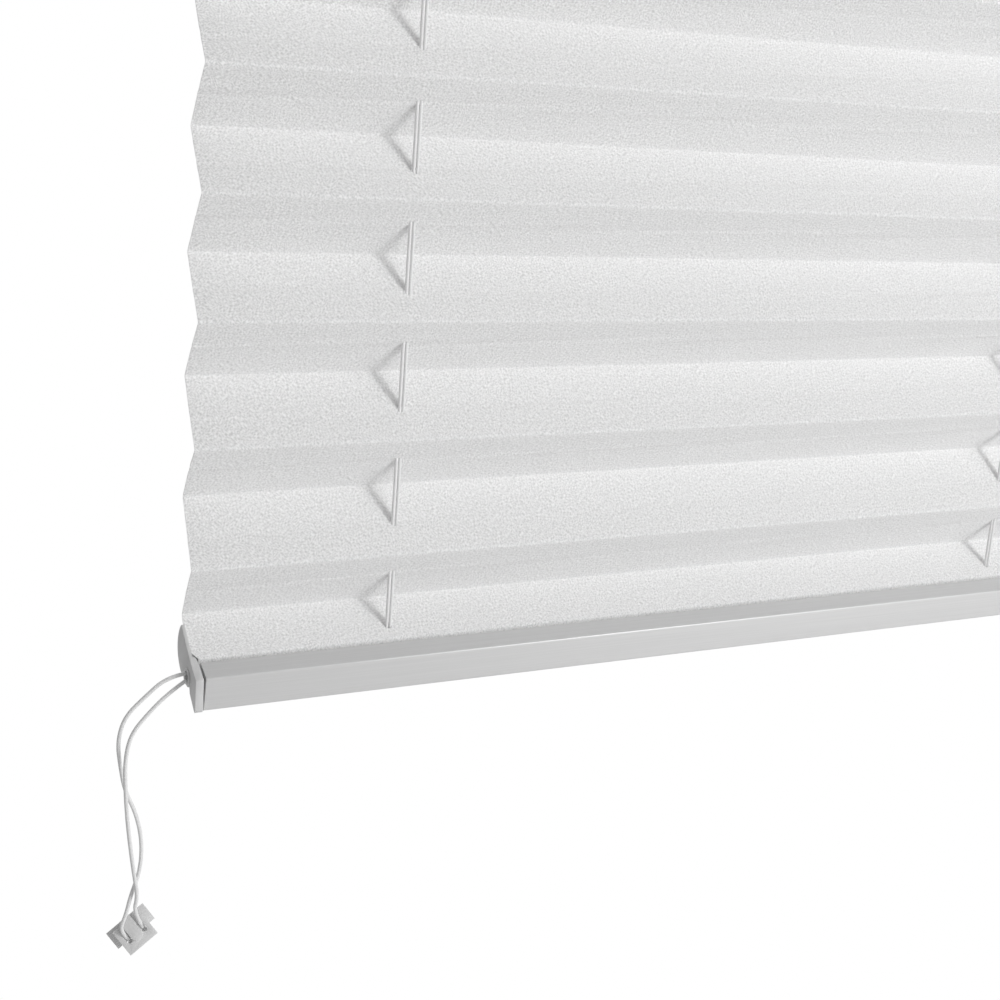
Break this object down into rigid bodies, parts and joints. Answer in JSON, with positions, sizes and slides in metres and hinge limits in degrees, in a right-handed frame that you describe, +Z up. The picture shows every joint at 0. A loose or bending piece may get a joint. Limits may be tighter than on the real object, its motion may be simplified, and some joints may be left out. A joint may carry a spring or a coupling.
{
  "type": "pleated blind",
  "caption": "Cord-guided pleated window blind: folded crepe fabric between a headrail with wall brackets and a sliding bottom rail with tail cords.",
  "frame": {"origin": "on the wall plane, halfway between the screw holes of the two wall brackets", "axes": "+X along the blind to the right seen from the room, +Y into the wall, +Z up; the blind hangs down along -Z"},
  "size_m": [0.353, 0.0278, 0.6284],
  "materials": {
    "rail_aluminium": "satin silver lacquer",
    "bracket_steel": "satin",
    "crepe_fabric": "matte crepe",
    "spring_steel": "bright",
    "braided_cord": "braided polyester",
    "cap_plastic": "matte",
    "clip_plastic": "satin",
    "strip_plastic": "matte",
    "guide_plastic": "moulded"
  },
  "bodies": {
    "headrail": {"column_cord_left_inner": "braided_cord", "column_cord_left_outer": "braided_cord", "column_cord_right_inner": "braided_cord", "column_cord_right_outer": "braided_cord", "cord_joiner_left": "guide_plastic", "cord_joiner_right": "guide_plastic", "headrail": "rail_aluminium", "headrail_cap_left": "cap_plastic", "headrail_cap_right": "cap_plastic", "headrail_cord_guide_left": "guide_plastic", "headrail_cord_guide_right": "guide_plastic", "headrail_cord_left_inner": "braided_cord", "headrail_cord_left_outer": "braided_cord", "headrail_cord_right_inner": "braided_cord", "headrail_cord_right_outer": "braided_cord", "headrail_fabric_strip": "strip_plastic", "pleated_fabric": "crepe_fabric", "spring_anchor_left": "guide_plastic", "spring_anchor_right": "guide_plastic", "tension_spring_left": "spring_steel", "tension_spring_right": "spring_steel", "wall_bracket_left": "bracket_steel", "wall_bracket_right": "bracket_steel"},
    "bottom_rail": {"bottom_cap_left": "cap_plastic", "bottom_cap_right": "cap_plastic", "bottom_cord_guide_left": "guide_plastic", "bottom_cord_guide_right": "guide_plastic", "bottom_fabric_strip": "strip_plastic", "bottom_rail": "rail_aluminium", "cord_clip_left": "clip_plastic", "cord_clip_right": "clip_plastic", "cord_eyelet_left": "cap_plastic", "cord_eyelet_right": "cap_plastic", "cord_knots_left": "braided_cord", "cord_knots_right": "braided_cord", "rail_cord_left_inner": "braided_cord", "rail_cord_left_outer": "braided_cord", "rail_cord_right_inner": "braided_cord", "rail_cord_right_outer": "braided_cord", "tail_cord_left_back": "braided_cord", "tail_cord_left_front": "braided_cord", "tail_cord_right_back": "braided_cord", "tail_cord_right_front": "braided_cord"}
  },
  "joints": [
    {"name": "rail_slide", "type": "slide", "parent": "headrail", "child": "bottom_rail", "axis": [0, 0, 1], "range_m": [0, 0.48], "deforming": ["pleated_fabric", "column_cord_left_inner", "column_cord_left_outer", "column_cord_right_inner", "column_cord_right_outer"]}
  ]
}
